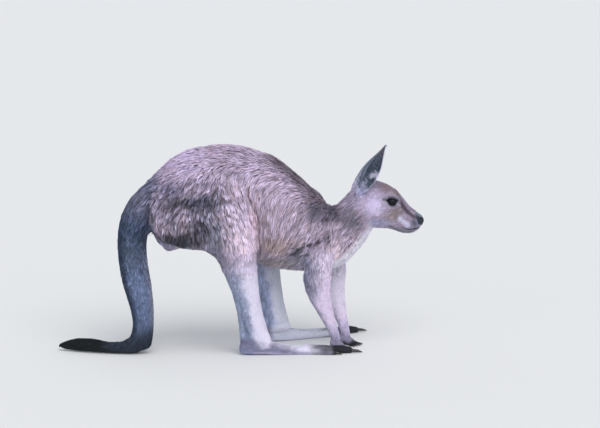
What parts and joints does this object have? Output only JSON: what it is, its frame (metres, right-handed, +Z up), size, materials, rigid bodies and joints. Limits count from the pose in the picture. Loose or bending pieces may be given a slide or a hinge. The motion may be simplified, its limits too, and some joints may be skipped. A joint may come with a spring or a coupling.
{
  "type": "eastern grey kangaroo model",
  "caption": "Life-size standing kangaroo, hunched forward with hind feet, forepaws and tail all on the ground and head raised, as a still display figure.",
  "frame": {"origin": "on the floor, at the middle of the figure's length and width", "axes": "+X towards the nose, +Y to the animal's left, +Z up"},
  "size_m": [1.0532, 0.3334, 0.594],
  "materials": {
    "coat": "soft grey-brown fur, clumped and wavy on the rump and flank",
    "pale_coat": "short pale grey fur",
    "tail_coat": "short dark grey fur, greyer along the underside",
    "dark_coat": "short near-black fur",
    "ear_coat": "thin dark fur with a pale front edge",
    "nose": "moist black skin",
    "eye": "dark brown polished eye",
    "claw": "dark horn"
  },
  "bodies": {
    "root": {"thigh_right": "coat", "shin_right": "pale_coat", "hind_foot_right": "pale_coat", "hind_claw_fourth_right": "claw", "hind_claw_fifth_right": "claw", "hind_claw_third_right": "claw", "hind_claw_second_right": "claw", "upper_arm_right": "coat", "forearm_right": "pale_coat", "forepaw_right": "dark_coat", "fore_claw_1_right": "claw", "fore_claw_2_right": "claw", "fore_claw_3_right": "claw", "fore_claw_4_right": "claw", "fore_claw_5_right": "claw", "eye_right": "eye", "ear_right": "ear_coat", "thigh_left": "coat", "shin_left": "pale_coat", "hind_foot_left": "pale_coat", "hind_claw_fourth_left": "claw", "hind_claw_fifth_left": "claw", "hind_claw_third_left": "claw", "hind_claw_second_left": "claw", "upper_arm_left": "coat", "forearm_left": "pale_coat", "forepaw_left": "dark_coat", "fore_claw_1_left": "claw", "fore_claw_2_left": "claw", "fore_claw_3_left": "claw", "fore_claw_4_left": "claw", "fore_claw_5_left": "claw", "eye_left": "eye", "ear_left": "ear_coat", "nose": "nose", "head": "coat", "neck": "coat", "tail_root": "tail_coat", "tail_middle": "tail_coat", "tail_lower": "tail_coat", "tail_end": "dark_coat", "rump": "coat", "belly": "coat", "chest": "coat"}
  },
  "joints": []
}
